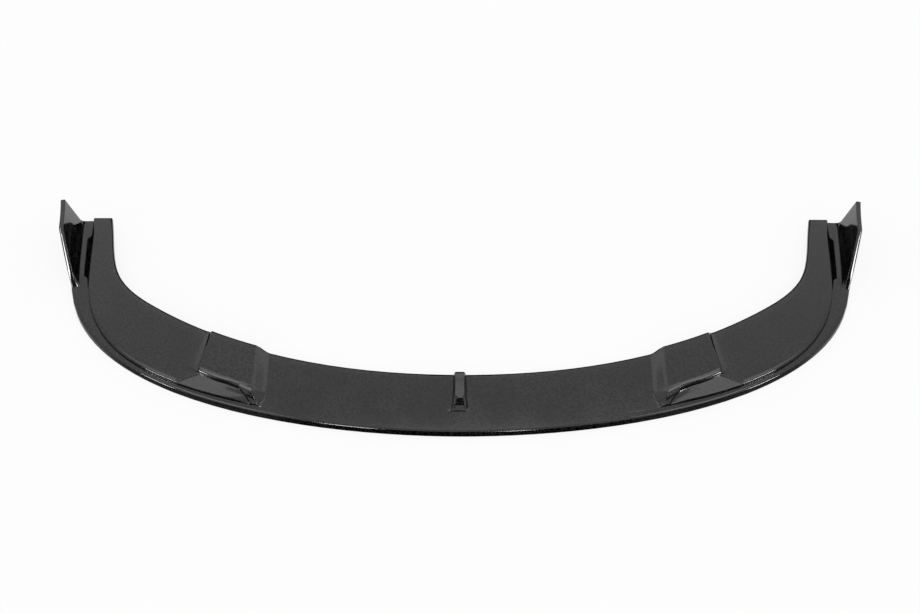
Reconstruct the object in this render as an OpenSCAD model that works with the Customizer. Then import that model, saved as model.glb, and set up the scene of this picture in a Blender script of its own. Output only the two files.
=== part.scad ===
// Front splitter lip for a car: one moulding, a U-shaped blade with raised side
// plates, a pod and scoop on each side, a small centre fin and an upright
// winglet at the end of each arm. Millimetres, +Z up, the car's front is -Y.
// The skin is a loft: rows run along the lip, stations run across it.

/* [Blade] */
// Distance between the lower rims at the arm ends
rim_w = 1778; // [1690:2:1866]
// From the front of the rim to the ends of the arms
depth = 537; // [503:2:593]
// Height of the ledge above the lower rim
ledge_h = 17; // [15:0.5:22]
// Wall of the moulding
wall = 3; // [2.4:0.1:3.4]
// How far the nose face leans back
nose_lean = 2; // [1.5:0.5:4]
// Rounding along the top of the nose
nose_r = 5; // [3:0.5:6]
// From the front of the rim to the rear edge at the centre
centre_d = 141; // [133:1:153]
// Depth of the turned-down rear edge
edge_drop = 9; // [8:0.5:12]

/* [Side plates] */
// Height of the side plates above the ledge
plate_h = 11; // [8:0.5:14]
// Width of a side plate at the end of its arm
arm_w = 40; // [34:1:48]
// Draft of the step between ledge and plate
draft = 1.2; // [1:0.1:2]
// Rounding along the top of the step
step_r = 4.5; // [3.5:0.5:6]

/* [Pods] */
// Height of the pods above the ledge
pod_h = 22; // [18:0.5:26]
// Lateral place of the inner top edge of a pod, at the rear
pod_in = 442; // [430:1:452]
// Lateral place of the outer top edge of a pod, at the rear
pod_out = 541; // [530:1:560]
// Run of the slope between a pod and the centre plate
slope_run = 27; // [20:1:36]
// Height of the scoop floor along its front edge
scoop_h = 9.6; // [8:0.2:10.4]
// How much the scoop floor rises to the brow
scoop_rise = 1.6; // [1:0.2:2]
// Height of the inner corner of the scoop floor
scoop_in_h = 3.5; // [2.5:0.5:5]

/* [Centre fin] */
// Height of the fin
fin_h = 14.5; // [10:0.5:18]
// Width of the fin's top
fin_w = 20; // [16:1:24]
// Width of the fin's foot at its front
fin_foot_w = 40; // [36:1:48]
// Length of the fin's sloped front
fin_slope = 32.5; // [29:0.5:35]
// Height of the scoop floor in the fin
fin_floor_h = 3; // [2.5:0.5:5]

/* [Winglets] */
// Height of the winglets above the ledge
wing_h = 95; // [60:1:110]
// Thickness of the winglets at the top
wing_t = 10.5; // [9.5:0.5:13]
// Thickness of the winglets at the foot
wing_foot_t = 17; // [14:0.5:20]
// How far the winglets lean outwards at the top
wing_lean = 12; // [6:1:20]
// Length of a winglet at its foot
wing_len = 174; // [157:1:187]
// Length of the level top of a winglet
wing_top = 76; // [61:1:91]
// Fillet between a winglet and the ledge
wing_fillet = 9; // [6:0.5:11]

/* [Slots] */
// Width of the blind slot between winglet and plate
slot_w = 10; // [8:0.5:12]
// Depth of the blind slot
slot_d = 10.5; // [7:0.5:11]
// Length of the blind slot
slot_len = 110; // [95:1:118]

/* [Hidden] */

// Plan lines of one half, each two cubic curves joined at the corner of the lip
arm_x = rim_w / 2;
step_arm = 50;
arm_y = depth - 7;
corner = [arm_x - 132, 180];
rim_line = [
    [[0, 0], [corner.x * 0.32, 0], corner - [180, 137], corner],
    [corner, corner + [152, 116], [arm_x - 19, arm_y - 119], [arm_x, arm_y]]
];
step_end = [arm_x - step_arm, depth - 1];
step_corner = corner + [-19, 11.5];
step_line = [
    [[0, 28], [corner.x * 0.21, 28], step_corner - [163, 141], step_corner],
    [step_corner, step_corner + [122, 105], step_end - [16, 118], step_end]
];
rear_end = [step_end.x - arm_w, depth];
rear_corner = [corner.x - 64, 314];
rear_line = [
    [[0, centre_d], [corner.x * 0.31, centre_d], rear_corner - [208, 132], rear_corner],
    [rear_corner, rear_corner + [98, 63], rear_end - [21, 110], rear_end]
];

function curve(p, t) = pow(1 - t, 3) * p[0] + 3 * pow(1 - t, 2) * t * p[1]
    + 3 * (1 - t) * t * t * p[2] + pow(t, 3) * p[3];
function at(line, u) = u <= 1 ? curve(line[0], u) : curve(line[1], u - 1);
function unit(v) = v / norm(v);
function smooth(t) = t * t * (3 - 2 * t);
function mix(a, b, t) = a + (b - a) * t;
function limit(v, low, high) = min(max(v, low), high);
function ramp(v, low, high) = limit((v - low) / (high - low), 0, 1);
// Inward normal of a plan line
function inward(line, u) =
    let (e = 0.002, a = at(line, max(u - e, 0)), b = at(line, min(u + e, 2)), d = unit(b - a))
    [-d.y, d.x];
// The place on a line where it reaches a lateral or a fore-aft coordinate
function place(line, axis, value, low = 0, high = 2, n = 24) =
    n == 0 ? (low + high) / 2
    : let (m = (low + high) / 2)
        at(line, m)[axis] < value ? place(line, axis, value, m, high, n - 1)
        : place(line, axis, value, low, m, n - 1);
function on_x(rim, step, rear) =
    [place(rim_line, 0, rim), place(step_line, 0, step), place(rear_line, 0, rear)];
function on_y(rim, step, rear) =
    [place(rim_line, 1, rim), place(step_line, 1, step), place(rear_line, 1, rear)];

// Rows between the step and the rear edge, as shares of that distance
plate_rows = [0.07, 0.14, 0.21, 0.29, 0.38, 0.46, 0.52, 0.6, 0.73, 0.86];
flat = [for (i = [0:11]) 0];
plate = [for (i = [0:11]) plate_h];
rear_inset = 4.5;
arm_r = 3.3;

// A stop is a station with a form of its own:
// [places on rim, step and rear line, plan points of the rows, heights, divisions up to it, easing]
function straight(u) =
    let (a = at(step_line, u[1]), b = at(rear_line, u[2]) + rear_inset * -inward(rear_line, u[2]))
    [for (f = plate_rows) mix(a, b, f)];
function stop(u, rows, heights, n, ease = 0) = [u, rows, heights, n, ease];
function plain(u, heights, n) = stop(u, straight(u), heights, n);

// Centre fin: the foot, the floor of its scoop, the wall behind it, the crest and the rear
fin_front = at(step_line, 0).y + 23.5;
fin_ys = [fin_front, fin_front + 1, fin_front + 13, fin_front + fin_slope - 6,
    fin_front + fin_slope, fin_front + fin_slope + 10, fin_front + fin_slope + 18,
    fin_front + fin_slope + 26, fin_front + fin_slope + 37, fin_front + fin_slope + 48];
function fin_run(y) = ramp(y, fin_front, fin_front + fin_slope);
function fin_x(y, foot, top) = mix(foot, top, fin_run(y));
function fin_rows(foot, top, rear) =
    [for (y = fin_ys) [y < fin_ys[4] ? fin_x(y, foot, top)
        : mix(top, rear, ramp(y, fin_ys[4], centre_d)), y]];
function fin_leg(y) = mix(1.5, fin_h, fin_run(y));
function fin_top(y) = mix(fin_h - 2, fin_h, ramp(y, fin_ys[4], centre_d));
fin_inside = [
    0, 0, fin_floor_h, fin_floor_h, fin_h - 2.2,
    for (y = fin_ys) if (y >= fin_ys[4]) fin_top(y),
    fin_h
];
fin_rib = [0, for (y = fin_ys) min(fin_leg(y), fin_top(y)), fin_h];
leg = 2;
fin_stops = [
    stop(on_x(0, 0, 0), fin_rows(0, 0, 0), fin_inside, 1),
    stop(on_x(9, 9, 5), fin_rows(fin_foot_w / 2 - 8, 4.5, 4.5), fin_inside, 1),
    stop(on_x(11, 11, 7), fin_rows(fin_foot_w / 2 - 6.5, 6, 6), fin_rib, 1),
    stop(on_x(14, 14, fin_w / 2), fin_rows(fin_foot_w / 2 - 6.5 + leg, fin_w / 2, fin_w / 2), fin_rib, 1),
    stop(on_x(20, 20, fin_w / 2 + 4), fin_rows(fin_foot_w / 2, fin_w / 2 + 6, fin_w / 2 + 4), flat, 1),
    stop(on_x(32, 32, 28), fin_rows(fin_foot_w / 2 + 10, 30, 28), flat, 1)
];

// Pod corners in plan: the scoop floor spans A, B, C and D
pod_a = at(step_line, place(step_line, 0, pod_out + 66));
pod_b = [pod_out + 22, pod_a.y + 17];
pod_c = [pod_in + 32, pod_b.y - 36];
pod_d = at(step_line, place(step_line, 0, pod_in + 9));
// A row of plan points: three up the scoop's side, its top corner, the rounded brow, then to the rear
function pod_rows(low, corner_point, brow, rear) = [
    for (f = [0.25, 0.5, 0.75]) mix(low, corner_point, f),
    corner_point,
    for (b = brow) corner_point + b,
    for (f = [0.35, 0.7]) mix(corner_point + brow[3], at(rear_line, rear), f)
];
function pod_heights(low, corner_h, brow, rear) = [
    low,
    for (f = [0.25, 0.5, 0.75]) mix(low, corner_h, f),
    corner_h,
    for (b = brow) b,
    for (i = [0:2]) rear[i]
];
brow_h = [pod_h - 5.2, pod_h - 2.2, pod_h - 0.6, pod_h];
top_h = [pod_h, pod_h, pod_h];
flank = plate_h + 3;
front_brow = [[-0.4, 1.4], [-0.8, 4], [-1.4, 8], [-2, 15]];
scoop_brow = [[-0.6, 1.4], [-1.2, 4], [-1.8, 7.5], [-2.6, 13]];
floor_brow = [for (b = front_brow) b - [3, 1.2]];
valley_brow = [[-3, 5], [-6, 9], [-8, 14], [-11, 20]];
aside = [-1.8, 1.4];
u_mid = on_x(pod_d.x + 38, pod_d.x + 34, mix(pod_in + 36, pod_out, 0.26));
u_d = on_x(pod_d.x + 4, pod_d.x, pod_in + 36);
u_wall = on_x(pod_d.x - 1, pod_d.x - 4, pod_in + 34);
u_in = on_x(pod_d.x - 12, pod_d.x - 15, pod_in);
u_foot = on_x(pod_d.x - 25, pod_d.x - 28, pod_in - slope_run);
u_floor = on_x(pod_a.x + 6, pod_a.x - 4, pod_out - 9);
u_edge = on_x(pod_a.x + 10, pod_a.x, pod_out);
u_flank = on_x(pod_a.x + 12, pod_a.x + 2.2, pod_out + 6);
u_valley = on_x(pod_a.x + 16, pod_a.x + 6, pod_out + 15);
mid_low = at(step_line, u_mid[1]);
wall_low = at(step_line, u_wall[1]);
in_low = at(step_line, u_in[1]);
foot_low = at(step_line, u_foot[1]);
foot_top = foot_low + [-5, 18];
floor_low = at(step_line, u_floor[1]);
crease = at(step_line, u_valley[1]);
valley_top = pod_b + [27, 18];
pod_stops = [
    stop(u_foot, pod_rows(foot_low, foot_top, [[-1, 4], [-2, 8], [-2.5, 13], [-3, 20]], u_foot[2]), flat, 9),
    stop(u_in, pod_rows(in_low, in_low + [5, 12], [[1.5, 3.5], [3.5, 8], [5, 14], [6, 22]], u_in[2]),
        pod_heights(6, pod_h - 5, [pod_h - 2.6, pod_h - 1.2, pod_h - 0.3, pod_h], top_h), 3, 1),
    stop(u_wall, pod_rows(wall_low, pod_c + aside, scoop_brow, u_wall[2]),
        pod_heights(8.5, pod_h - 2.5, [pod_h - 2, pod_h - 1.2, pod_h - 0.4, pod_h], top_h), 2),
    stop(u_d, pod_rows(pod_d, pod_c, scoop_brow, u_d[2]),
        pod_heights(scoop_in_h, scoop_h + scoop_rise - 0.8, brow_h, top_h), 1),
    stop(u_mid, pod_rows(mid_low, mix(pod_c, pod_b, 0.26), scoop_brow, u_mid[2]),
        pod_heights(scoop_h, scoop_h + scoop_rise, brow_h, top_h), 1),
    stop(u_floor, pod_rows(floor_low, pod_b - [2.6, 1.6], floor_brow, u_floor[2]),
        pod_heights(scoop_h, scoop_h + scoop_rise, brow_h, top_h), 3),
    stop(u_edge, pod_rows(pod_a, pod_b, front_brow, u_edge[2]),
        pod_heights(plate_h, plate_h + 1.4, [pod_h - 5.2, pod_h - 2.6, pod_h - 1, pod_h - 0.3], top_h), 1),
    stop(u_flank, pod_rows(crease - [4, 1.6], pod_b + [3.2, 1.6], front_brow, u_flank[2]),
        pod_heights(plate_h, plate_h + 1, [flank, flank, flank, flank], [flank, flank, flank]), 1),
    stop(u_valley, pod_rows(crease, valley_top, valley_brow, u_valley[2]), plate, 2)
];

// Side plate and arm, up to the end of the lip
wing_y = arm_y - wing_len;
wing_shoulder = arm_y - wing_top;
slot_y = depth - 152;
slot_end = slot_y + slot_len;
arm_shift = 34;
function arm(y, n = 1) =
    plain(on_y(y, y + (y > slot_end ? 4 : 0), y + arm_shift * ramp(arm_y - y, 0, 200)), plate, n);
corner_stops = [
    plain(on_x(corner.x - 50, corner.x - 61, corner.x - 124), plate, 4),
    plain(on_x(corner.x + 46, corner.x + 18, corner.x - 52), plate, 5),
    plain(on_y(wing_y - 68, wing_y - 54, rear_corner.y + 58), plate, 4)
];
arm_ys = [wing_y - 6, wing_y, wing_y + 12, slot_y - 3, slot_y + 2, slot_y + 25, slot_y + 50,
    wing_shoulder, slot_end - 22, slot_end - 8, slot_end, slot_end + 2, depth - 21];
arm_stops = [
    for (i = [0:12]) arm(arm_ys[i], i == 0 ? 2 : 1),
    plain([2, 2, 2], plate, 1)
];
stops = concat(fin_stops, pod_stops, corner_stops, arm_stops);

// A row's place is kept as a share of the step-to-rear distance and a drift beside it
function base_point(u, f) = mix(at(step_line, u[1]), at(rear_line, u[2]), f);
function share(u, p) =
    let (a = at(step_line, u[1]), d = at(rear_line, u[2]) - a) limit((p - a) * d / (d * d), 0, 1);
shares = [for (s = stops) [for (p = s[1]) share(s[0], p)]];
drifts = [for (k = [0:len(stops) - 1])
    [for (j = [0:9]) stops[k][1][j] - base_point(stops[k][0], shares[k][j])]];

// Stations: every stop, with evenly spaced ones between
stations = [
    for (k = [0:len(stops) - 1], i = [1:stops[k][3]])
        let (t = i / stops[k][3], b = stops[k], a = stops[max(k - 1, 0)], q = max(k - 1, 0),
            h = b[4] == 1 ? smooth(t) : t, u = mix(a[0], b[0], t),
            f = mix(shares[q], shares[k], t), d = mix(drifts[q], drifts[k], t))
        [u, [for (j = [0:9]) base_point(u, f[j]) + d[j]], mix(a[2], b[2], h)]
];

// Height of the winglet and depth and width of the slot along an arm
function wing_at(y) = wing_h * ramp(y, wing_y, wing_shoulder);
function slot_at(y) =
    y <= slot_y ? [2.2 * ramp(y, wing_y, slot_y), slot_d * 0.5 * ramp(y, wing_y, slot_y)]
    : y <= slot_end ? let (k = ramp(y, slot_y - 3, slot_y + 2))
        [mix(2.2, slot_w + 2 * ramp(y, slot_y, slot_end), k), mix(slot_d * 0.5, slot_d, k)]
    : [2.6 * ramp(depth - 12 - y, 0, 32), slot_d * 0.6 * ramp(depth - 12 - y, 0, 32)];

// The thirteen outer rows of a station: rim, nose, winglet, ledge, slot and step.
// The step's top is rounded at the plates and crisp at the scoops.
foot_w = nose_lean + wing_foot_t;
top_w = nose_lean + 0.3 * nose_r + wing_t;
tilt = wing_lean / wing_h;
inner_tilt = (foot_w - top_w + wing_lean) / wing_h;
function outer_rows(s, round_scoop) =
    let (u = s[0], step_h = s[2][0], rim = at(rim_line, u[0]), n = inward(rim_line, u[0]), y = rim.y,
        step = at(step_line, u[1]), m = inward(step_line, u[1]),
        slot = slot_at(step.y), h = wing_at(y), q = ramp(y, wing_y - 150, wing_y),
        f = min(wing_fillet, h / 2) / wing_fillet, lip = nose_lean + nose_r,
        e = step_r - (step_r - arm_r) * ramp(y, wing_y - 60, wing_y),
        top_e = round_scoop ? e : mix(1.3, e, ramp(step.x, pod_a.x - 5, pod_a.x + 8)),
        r = top_e * min(1, step_h / plate_h),
        edge = step - m * (e + draft + 1 + slot[0]),
        front = rim + n * mix(lip + 1.3, foot_w - wing_fillet * inner_tilt * f, q))
    [
        [rim, 0],
        [rim + n * (nose_lean * 0.85), ledge_h - nose_r],
        [rim + n * (nose_lean + 0.3 * nose_r - tilt * h), ledge_h - 0.3 * nose_r * (1 - f) + h],
        [rim + n * (mix(lip, top_w, q) - tilt * h), ledge_h + h],
        [front, ledge_h + wing_fillet * f],
        [mix(mix(rim + n * (lip + 1.3), edge, 0.34), rim + n * (foot_w + 2.6), q),
            ledge_h + wing_fillet * 0.28 * f],
        [mix(mix(rim + n * (lip + 1.3), edge, 0.67), rim + n * (foot_w + 4.5 + (wing_fillet - 3) * f), q),
            ledge_h],
        [edge, ledge_h],
        [step - m * (e + draft + 1), ledge_h - slot[1]],
        [step - m * (e + draft), ledge_h - slot[1]],
        [step - m * e, ledge_h + step_h - r],
        [step - m * (e - 0.3 * top_e), ledge_h + step_h - 0.3 * r],
        [step - m * (e - top_e), ledge_h + step_h]
    ];
function rear_rows(u, h) =
    let (p = at(rear_line, u[2]), n = inward(rear_line, u[2]), low = p.x < fin_w ? 0 : h)
    [
        [p - n * rear_inset, ledge_h + h],
        [p - n * 0.8, ledge_h + h - 1.4],
        [p, ledge_h + low - edge_drop]
    ];
function point(q) = [q[0].x, q[0].y, q[1]];
function section(s, round_scoop = false) = [
    for (q = outer_rows(s, round_scoop)) point(q),
    for (j = [0:9]) point([s[1][j], ledge_h + s[2][j + 1]]),
    for (q = rear_rows(s[0], s[2][11])) point(q)
];
half = [for (s = stations) section(s)];
rows = len(half[0]);
halves = len(half);
count = 2 * halves - 1;
function flipped(p) = [-p.x, p.y, p.z];
skin = [
    for (i = [halves - 1:-1:1]) [for (p = half[i]) flipped(p)],
    for (i = [0:halves - 1]) half[i]
];

// Inner skin: the fin and the foot of each winglet stay solid, the rest keeps one wall
wing_core = 30;
fin_count = len(fin_stops);
level = [for (i = [0:fin_count - 1]) section([stations[i][0], stations[i][1], flat], true)];
soft = [for (s = stations) section(s, true)];
function core_point(p, i, j) =
    let (k = abs(i - halves + 1), s = half[k], h = wing_at(s[0].y), side = p.x < 0 ? -1 : 1,
        w = [0.2, 0.3, 0.5, 0.8][j - 2])
    j >= 10 && j <= 12 ? [side * soft[k][j].x, soft[k][j].y, soft[k][j].z]
    : k < fin_count && j > 12 ? [p.x, p.y, level[k][j].z]
    : j >= 2 && j <= 5 && h > 0 && h <= wing_core ?
        [side * mix(s[1].x, s[6].x, w), mix(s[1].y, s[6].y, w), ledge_h]
    : p;
core = [for (i = [0:count - 1]) [for (j = [0:rows - 1]) core_point(skin[i][j], i, j)]];

function facing(a, b, c, d) = let (n = cross(c - a, d - b)) norm(n) < 0.0001 ? [0, 0, 1] : unit(n);
normals = [for (i = [0:count - 2]) [for (j = [0:rows - 2])
    facing(core[i][j], core[i + 1][j], core[i + 1][j + 1], core[i][j + 1])]];
function around(i, j) = [
    for (a = [max(i - 1, 0):min(i, count - 2)], b = [max(j - 1, 0):min(j, rows - 2)]) normals[a][b]
];
function total(list, i = 0) = i == len(list) - 1 ? list[i] : list[i] + total(list, i + 1);
function inner_point(i, j) =
    let (p = core[i][j], f = around(i, j), n = unit(total(f)), k = max(0.5, min([for (v = f) v * n])),
        cut = i == 0 || i == count - 1, m = cut ? unit([n.x, 0, n.z]) : n,
        flat_n = unit([n.x, n.y, 0]), edge = j == 0 || j == rows - 1)
    edge ? p - wall * flat_n / max(0.6, norm([n.x, n.y])) : p - wall * m / k;
inner = [for (i = [0:count - 1]) [for (j = [0:rows - 1]) inner_point(i, j)]];

// One closed surface: outer skin, inner skin, the two rims and the two cut ends
points = concat([for (s = skin, p = s) p], [for (s = inner, p = s) p]);
function outer_id(i, j) = i * rows + j;
function inner_id(i, j) = (count + i) * rows + j;
function quad(a, b, c, d) = [[a, b, c], [a, c, d]];
last = rows - 1;
end = count - 1;
faces = [
    for (i = [0:count - 2], j = [0:rows - 2]) each
        quad(outer_id(i, j), outer_id(i, j + 1), outer_id(i + 1, j + 1), outer_id(i + 1, j)),
    for (i = [0:count - 2], j = [0:rows - 2]) each
        quad(inner_id(i, j), inner_id(i + 1, j), inner_id(i + 1, j + 1), inner_id(i, j + 1)),
    for (i = [0:count - 2]) each
        quad(outer_id(i, 0), outer_id(i + 1, 0), inner_id(i + 1, 0), inner_id(i, 0)),
    for (i = [0:count - 2]) each
        quad(outer_id(i, last), inner_id(i, last), inner_id(i + 1, last), outer_id(i + 1, last)),
    for (j = [0:rows - 2]) each
        quad(outer_id(0, j), inner_id(0, j), inner_id(0, j + 1), outer_id(0, j + 1)),
    for (j = [0:rows - 2]) each
        quad(outer_id(end, j), outer_id(end, j + 1), inner_id(end, j + 1), inner_id(end, j))
];

module splitter_lip() {
    color([0.03, 0.03, 0.035])
        translate([0, -depth / 2, 0])
            polyhedron(points, faces);
}

splitter_lip();
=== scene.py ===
import math

import bmesh
import bpy
from mathutils import Matrix, Vector


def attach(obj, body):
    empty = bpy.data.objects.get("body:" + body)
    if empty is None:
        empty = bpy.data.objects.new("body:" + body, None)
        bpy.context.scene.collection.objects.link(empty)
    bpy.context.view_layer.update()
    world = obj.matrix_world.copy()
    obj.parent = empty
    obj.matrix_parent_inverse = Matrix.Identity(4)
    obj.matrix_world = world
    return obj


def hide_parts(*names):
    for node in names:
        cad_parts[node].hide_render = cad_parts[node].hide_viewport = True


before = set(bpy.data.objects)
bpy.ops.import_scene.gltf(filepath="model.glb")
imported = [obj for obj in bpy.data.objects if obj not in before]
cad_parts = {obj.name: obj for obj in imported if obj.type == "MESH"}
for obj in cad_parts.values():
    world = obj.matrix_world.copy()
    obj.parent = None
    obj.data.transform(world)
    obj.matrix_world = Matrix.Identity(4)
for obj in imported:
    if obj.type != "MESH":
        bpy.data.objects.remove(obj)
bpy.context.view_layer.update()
scene = bpy.context.scene
print("frame loaded:", ", ".join(sorted(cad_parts)))


# Camera: the place the photograph was taken from, in metres and degrees
cameraSetup = {
    "target": (0.0076, 0.0415, 0.017),
    "distance": 3.2,
    "elevation": 60.0,
    "yaw": 0.14,
    "roll": 0.149,
    "lens": 56.35,      # millimetres, on a sensor 36 wide
    "sensor": 36.0,
    "farthest": 60,
}


def addCamera(setup):
    data = bpy.data.cameras.new("photoCamera")
    data.sensor_fit = "HORIZONTAL"
    data.sensor_width = setup["sensor"]
    data.lens = setup["lens"]
    data.clip_end = setup["farthest"]
    camera = bpy.data.objects.new("photoCamera", data)
    scene.collection.objects.link(camera)
    lift = math.radians(setup["elevation"])
    back = setup["distance"] * math.cos(lift)
    up = setup["distance"] * math.sin(lift)
    x, y, z = setup["target"]
    camera.location = (x, y - back, z + up)
    camera.rotation_mode = "ZYX"
    camera.rotation_euler = (
        math.pi / 2 - lift, math.radians(setup["yaw"]), math.radians(setup["roll"]))
    scene.camera = camera


addCamera(cameraSetup)
print("camera placed")


# Shader maths: a signal wraps one socket, so that sums read as sums
class Signal:
    def __init__(self, tree, socket=None):
        self.tree = tree
        self.socket = socket

    def node(self, kind, settings=None, inputs=None, output=0):
        made = self.tree.nodes.new(kind)
        for name, value in (settings or {}).items():
            if name == "stops":
                self.setStops(made.color_ramp, value)
            else:
                setattr(made, name, value)
        for name, value in (inputs or {}).items():
            self.feed(made.inputs[name], value)
        return Signal(self.tree, made.outputs[output] if made.outputs else None)

    def setStops(self, ramp, stops):
        while len(ramp.elements) < len(stops):
            ramp.elements.new(0.5)
        for element, (place, level) in zip(ramp.elements, stops):
            element.position = place
            element.color = (level, level, level, 1)

    def feed(self, socket, value):
        if isinstance(value, Signal):
            self.tree.links.new(value.socket, socket)
        else:
            socket.default_value = value

    def maths(self, operation, *values):
        return self.node("ShaderNodeMath", {"operation": operation}, dict(enumerate(values)))

    def __add__(self, other):
        return self.maths("ADD", self, other)

    def __mul__(self, other):
        return self.maths("MULTIPLY", self, other)

    def __abs__(self):
        return self.maths("ABSOLUTE", self)

    __radd__ = __add__
    __rmul__ = __mul__


def newMaterial(name):
    material = bpy.data.materials.new(name)
    material.use_nodes = True
    material.node_tree.nodes.clear()
    return material, Signal(material.node_tree)


# Gloss black finish of the moulding; scales are per metre
finish = {
    "black": (0.0005, 0.0005, 0.0006, 1),
    "dust": (0.024, 0.024, 0.0245, 1),
    "index": 1.5,           # refractive index of the gloss
    "roughness": 0.07,
    "haze": 0.05,           # extra roughness in the duller patches
    "patchScale": 9.0,
    "patchDetail": 3.0,
    "patchStops": [(0.42, 0), (0.68, 1)],
    "peelScale": 240.0,     # ripples of the gloss coat
    "peelDetail": 1.0,
    "peelHeight": 0.00002,
    "moteScale": 230.0,     # cells of fine grain
    "moteStops": [(0.15, 1), (0.7, 0)],
    "moteShare": 0.5,       # how far a cell's middle goes over to dust
    "moteExtra": 0.4,       # how much farther it goes in the duller patches
}


def glossBlack():
    material, s = newMaterial("glossBlack")
    place = s.node("ShaderNodeTexCoord", output="Object")
    cloud = s.node("ShaderNodeTexNoise", inputs={
        "Vector": place, "Scale": finish["patchScale"], "Detail": finish["patchDetail"]})
    patches = s.node("ShaderNodeValToRGB", {"stops": finish["patchStops"]}, {0: cloud})
    cells = s.node("ShaderNodeTexVoronoi", {"feature": "F1"}, {
        "Vector": place, "Scale": finish["moteScale"]})
    motes = s.node("ShaderNodeValToRGB", {"stops": finish["moteStops"]}, {0: cells})
    colour = s.node("ShaderNodeMix", {"data_type": "RGBA"}, {
        0: motes * (finish["moteShare"] + patches * finish["moteExtra"]),
        6: finish["black"],     # sockets 6, 7 and output 2 are the ones for colours
        7: finish["dust"],
    }, output=2)
    peel = s.node("ShaderNodeTexNoise", inputs={
        "Vector": place, "Scale": finish["peelScale"], "Detail": finish["peelDetail"]})
    ripple = s.node("ShaderNodeBump", inputs={
        "Height": peel, "Distance": finish["peelHeight"], "Strength": 1.0})
    shader = s.node("ShaderNodeBsdfPrincipled", inputs={
        "Base Color": colour,
        "Roughness": finish["roughness"] + patches * finish["haze"],
        "IOR": finish["index"],
        "Normal": ripple,
    })
    s.node("ShaderNodeOutputMaterial", inputs={"Surface": shader})
    return material


def addMesh(name, bm, material):
    mesh = bpy.data.meshes.new(name)
    bm.to_mesh(mesh)
    bm.free()
    made = bpy.data.objects.new(name, mesh)
    scene.collection.objects.link(made)
    made.data.materials.append(material)
    return made


# The lip: the CAD mesh with its quads back, its edges broken and its faces smooth.
# A zone is a place in both halves: from and to sideways, from and to in depth.
lipSetup = {
    "mergeDistance": 0.00002,
    "joinAngle": 12.0,      # triangles that differ by less than this become quads
    "joinShape": 60.0,
    "edgeAngle": 24.0,      # edges sharper than this are broken
    "edgeBreak": 0.0009,    # this wide, and less beside narrow faces
    "edgeShare": 0.3,
    "edgeSegments": 2,
    "ledge": 0.017,         # the fin's feet end at this height
    "finToe": (0, 0.02, -0.23, -0.2165),
    "crisp": [              # zones whose edges stay crisp
        (0, 0.0125, -0.2175, -0.19),        # the fin's hollow
        (0, 0.022, -0.2175, -0.2155),       # the ends of its legs
        (0.44, 0.482, -0.212, -0.165),      # the scoops' inner corners
    ],
    "outward": 0.9,         # sideways part of the normal of a face that looks outward
    "wingFoot": 0.027,      # above this height outward edges are broken wider
    "armReach": 0.8,        # where they lie farther out than this
    "wingBreak": 0.0024,
    "wingShare": 0.5,
    "rakeReach": 0.86,      # the winglets' raked faces lie farther out than this
    "rakeTilt": 0.6,        # and look forward and up by more than this
    "wingBand": 0.0043,     # width of the band at their outer edge that turns outward
    "wingTurn": 9.0,
}


def widthBeside(edge, face):
    start, end = edge.verts
    along = (end.co - start.co).normalized()
    others = [v.co - start.co for v in face.verts if v not in edge.verts]
    return min((away - along * away.dot(along)).length for away in others)


def within(vertex, zone):
    inner, outer, front, rear = zone
    return inner <= abs(vertex.co.x) < outer and front < vertex.co.y < rear


def looksOutward(edge, side):
    return any(face.normal.x * side > lipSetup["outward"] for face in edge.link_faces)


def breakWidth(edge):
    x = edge.verts[0].co.x
    room = min(widthBeside(edge, face) for face in edge.link_faces)
    far = abs(x) > lipSetup["armReach"]
    high = min(v.co.z for v in edge.verts) > lipSetup["wingFoot"]
    if far and high and looksOutward(edge, math.copysign(1, x)):
        return min(lipSetup["wingBreak"], room * lipSetup["wingShare"])
    return min(lipSetup["edgeBreak"], room * lipSetup["edgeShare"])


def isRaked(face, side):
    tilt = lipSetup["rakeTilt"]
    return face.normal.y < -tilt and face.normal.z > tilt and all(
        v.co.x * side > lipSetup["rakeReach"] and v.co.z > lipSetup["wingFoot"]
        for v in face.verts)


# Turns the outer band of a raked face outward, which gives it the long glint
def turnWingBand(bm, side):
    raked = [face for face in bm.faces if isRaked(face, side)]
    verts = list({v for face in raked for v in face.verts})
    edges = list({e for face in raked for e in face.edges})
    outer = [e for e in edges if looksOutward(e, side)]
    ends = sorted({v for e in outer for v in e.verts}, key=lambda v: v.co.z)
    normal = sum((face.normal * face.calc_area() for face in raked), Vector()).normalized()
    across = (ends[-1].co - ends[0].co).cross(normal).normalized()
    across *= math.copysign(1, across.x * side)
    inner = ends[-1].co - across * lipSetup["wingBand"]
    cut = bmesh.ops.bisect_plane(
        bm, geom=verts + edges + raked, plane_co=inner, plane_no=across)["geom_cut"]
    slope = math.tan(math.radians(lipSetup["wingTurn"]))
    for vertex in ends:
        vertex.co -= normal * slope * (vertex.co - inner).dot(across)
    for edge in cut:
        if isinstance(edge, bmesh.types.BMEdge):
            edge.smooth = False


def joinQuads(bm):
    bmesh.ops.remove_doubles(bm, verts=bm.verts, dist=lipSetup["mergeDistance"])
    for vertex in bm.verts:
        if within(vertex, lipSetup["finToe"]) and vertex.co.z > lipSetup["ledge"]:
            vertex.co.z = lipSetup["ledge"]
    bmesh.ops.join_triangles(
        bm, faces=bm.faces,
        angle_face_threshold=math.radians(lipSetup["joinAngle"]),
        angle_shape_threshold=math.radians(lipSetup["joinShape"]))
    for face in bm.faces:
        face.smooth = True


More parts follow.
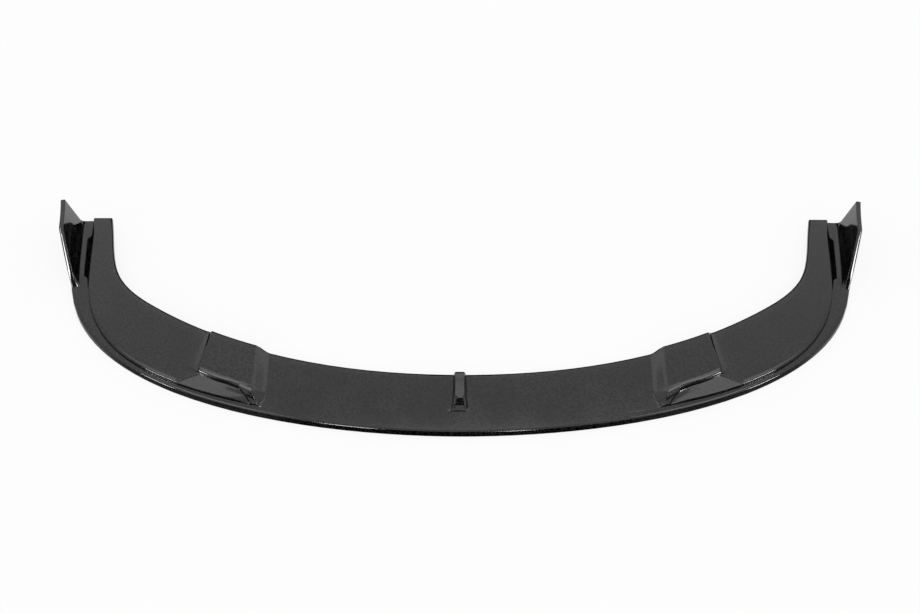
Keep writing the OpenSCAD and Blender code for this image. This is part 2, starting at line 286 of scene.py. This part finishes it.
def markEdges(bm):
    weight = bm.edges.layers.float.new("bevel_weight_edge")
    limit = math.radians(lipSetup["edgeAngle"])
    sharp = [e for e in bm.edges if e.is_manifold and e.calc_face_angle() > limit]
    for edge in sharp:
        if any(all(within(v, zone) for v in edge.verts) for zone in lipSetup["crisp"]):
            edge.smooth = False
        else:
            edge[weight] = breakWidth(edge) / lipSetup["wingBreak"]
    print("lip edges to break:", len(sharp), "of", len(bm.edges))


def buildLip(source):
    bm = bmesh.new()
    bm.from_mesh(source.data)
    joinQuads(bm)
    turnWingBand(bm, -1)
    turnWingBand(bm, 1)
    markEdges(bm)
    lip = addMesh("splitterLip", bm, glossBlack())
    broken = lip.modifiers.new("edgeBreak", "BEVEL")
    broken.limit_method = "WEIGHT"
    broken.width = lipSetup["wingBreak"]
    broken.segments = lipSetup["edgeSegments"]
    broken.use_clamp_overlap = False
    shading = lip.modifiers.new("evenShade", "WEIGHTED_NORMAL")
    shading.keep_sharp = True
    return lip


lip = buildLip(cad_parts["splitter_lip"])
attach(lip, "root")
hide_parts("splitter_lip")
print("lip built:", len(lip.data.polygons), "faces")


# Studio: a white floor and an even white sky; the cards show in the gloss alone
studio = {
    "floorSize": 14.0,
    "floorColour": (0.9, 0.9, 0.9, 1),
    "floorGlow": 0.85,      # share of the floor that shows as plain white
    "white": (1, 1, 1, 1),
    "sky": 1.0,
}


def sheet(width, height):
    bm = bmesh.new()
    bmesh.ops.create_grid(bm, x_segments=1, y_segments=1, size=0.5)
    bmesh.ops.scale(bm, vec=(width, height, 1), verts=bm.verts)
    return bm


def whiteFloor():
    material, s = newMaterial("floorWhite")
    camera, gloss, through = (
        s.node("ShaderNodeLightPath", output=name)
        for name in ("Is Camera Ray", "Is Glossy Ray", "Is Transmission Ray"))
    seen = (camera + gloss + through) * studio["floorGlow"]
    paint = s.node("ShaderNodeBsdfDiffuse", inputs={"Color": studio["floorColour"]})
    glow = s.node("ShaderNodeEmission", inputs={"Color": studio["white"], "Strength": 1.0})
    mixed = s.node("ShaderNodeMixShader", inputs={0: seen, 1: paint, 2: glow})
    s.node("ShaderNodeOutputMaterial", inputs={"Surface": mixed})
    addMesh("studioFloor", sheet(studio["floorSize"], studio["floorSize"]), material)


def glowMaterial(name, strength, tint=None):
    material, s = newMaterial(name)
    colour = tint(s) if tint else studio["white"]
    paint = s.node("ShaderNodeEmission", inputs={"Color": colour, "Strength": strength})
    s.node("ShaderNodeOutputMaterial", inputs={"Surface": paint})
    return material


def partOfPlace(s, axis):
    place = s.node("ShaderNodeTexCoord", output="Object")
    return s.node("ShaderNodeSeparateXYZ", inputs={0: place}, output=axis)


def glossOnly(card):
    card.visible_camera = False
    card.visible_diffuse = False
    card.visible_transmission = False
    card.visible_shadow = False


# Dark card around the lip on the front half of the floor, with an oval hole
floorCardSetup = {
    "hole": (0.80, 0.33),   # half width and half depth
    "middle": 0.15,         # depth of the hole's middle and of the card's rear edge
    "reach": 3.0,
    "sides": 64,
    "lift": 0.0004,
    "glow": 1.0,
    "levels": [(0.34, 0.0), (0.42, 0.1), (0.74, 0.14), (0.9, 1.0)],     # middle to sides
}


def floorCard(setup):
    def fade(s):
        return s.node(
            "ShaderNodeValToRGB", {"stops": setup["levels"]}, {0: abs(partOfPlace(s, "X"))})

    bm = bmesh.new()
    hole = bmesh.ops.create_circle(bm, segments=setup["sides"], radius=1.0)["verts"]
    bmesh.ops.scale(bm, vec=(*setup["hole"], 1), verts=hole)
    bmesh.ops.translate(bm, vec=(0, setup["middle"], 0), verts=hole)
    bmesh.ops.create_circle(bm, segments=setup["sides"], radius=setup["reach"])
    bmesh.ops.bridge_loops(bm, edges=bm.edges)
    bmesh.ops.bisect_plane(
        bm, geom=bm.verts[:] + bm.edges[:] + bm.faces[:],
        plane_co=(0, setup["middle"], 0), plane_no=(0, 1, 0), clear_outer=True)
    bmesh.ops.translate(bm, vec=(0, 0, setup["lift"]), verts=bm.verts)
    glossOnly(addMesh("cardFloor", bm, glowMaterial("cardFloor", setup["glow"], fade)))


# Wall behind the lip, which lights the plates
wallSetup = {
    "place": 3.2,
    "width": 12.0,
    "height": 8.0,
    "glow": 1.9,
    "levels": [(0.0, 0.85), (0.5, 0.85), (0.62, 0.68), (0.75, 0.6), (1.0, 0.5)],    # upwards
}


def backWall(setup):
    def fade(s):
        height = partOfPlace(s, "Z") * (1 / setup["height"])
        return s.node("ShaderNodeValToRGB", {"stops": setup["levels"]}, {0: height})

    bm = sheet(setup["width"], setup["height"])
    bmesh.ops.rotate(bm, matrix=Matrix.Rotation(math.pi / 2, 3, "X"), verts=bm.verts)
    bmesh.ops.translate(bm, vec=(0, setup["place"], setup["height"] / 2), verts=bm.verts)
    glossOnly(addMesh("backWall", bm, glowMaterial("backWall", setup["glow"], fade)))


# Cards and light panels: centre in metres, where it faces, width, height, glow
cards = {
    "cardFront": ((0, -3.0, 2.2), (0, 0, 2.2), 1.8, 4.4, 0.0),
    "cardFrontLeft": ((-1.95, -3.0, 2.2), (-1.95, 0, 2.2), 2.1, 4.4, 0.06),
    "cardFrontRight": ((1.95, -3.0, 2.2), (1.95, 0, 2.2), 2.1, 4.4, 0.06),
    "greyLeft": ((-1.55, -2.9, 2.2), (-0.88, 0.15, 0.07), 0.7, 0.8, 1.35),
    "greyRight": ((1.55, -2.9, 2.2), (0.88, 0.15, 0.07), 0.7, 0.8, 1.35),
    "cardRear": ((0, 3.1, 1.9), (0, 0, 1.9), 5.2, 3.8, 0.0),
    "cardLeft": ((-3.4, 0.1, 0.45), (0, 0.1, 0.45), 6.2, 0.9, 0.0),
    "cardRight": ((3.4, 0.1, 0.45), (0, 0.1, 0.45), 6.2, 0.9, 0.0),
    "panelRear": ((0, 0.82, 2.6), (0, 0.82, 0), 3.6, 0.26, 2.3),
    "panelLeft": ((-1.375, 0.495, 2.6), (-1.375, 0.495, 0), 0.85, 0.39, 2.3),
    "panelRight": ((1.375, 0.495, 2.6), (1.375, 0.495, 0), 0.85, 0.39, 2.3),
    "brightLeft": ((-1.375, -0.2, 2.6), (-1.375, -0.2, 0), 0.85, 1.0, 3.6),
    "brightRight": ((1.375, -0.2, 2.6), (1.375, -0.2, 0), 0.85, 1.0, 3.6),
    "boxFrontLeft": ((-0.76, -2.19, 1.33), (-0.25, -0.24, 0.02), 0.36, 0.8, 34.0),
    "boxFrontRight": ((0.38, -2.24, 1.33), (0.117, -0.25, 0.02), 0.18, 0.8, 34.0),
    "boxSideLeft": ((-1.47, -0.82, 0.51), (-0.645, -0.13, 0.02), 0.25, 0.38, 34.0),
    "boxSideRight": ((1.47, -0.82, 0.51), (0.645, -0.13, 0.02), 0.25, 0.38, 34.0),
}


def addCard(name, centre, target, width, height, glow):
    bm = sheet(width, height)
    facing = (Vector(target) - Vector(centre)).to_track_quat("Z", "Y").to_matrix()
    bmesh.ops.rotate(bm, matrix=facing, verts=bm.verts)
    bmesh.ops.translate(bm, vec=centre, verts=bm.verts)
    glossOnly(addMesh(name, bm, glowMaterial(name, glow)))


def whiteSky():
    world = bpy.data.worlds.new("studioSky")
    world.use_nodes = True
    background = world.node_tree.nodes["Background"]
    background.inputs["Color"].default_value = studio["white"]
    background.inputs["Strength"].default_value = studio["sky"]
    scene.world = world


whiteFloor()
floorCard(floorCardSetup)
backWall(wallSetup)
for cardName, card in cards.items():
    addCard(cardName, *card)
whiteSky()
scene.view_settings.view_transform = "Standard"
print("studio set")
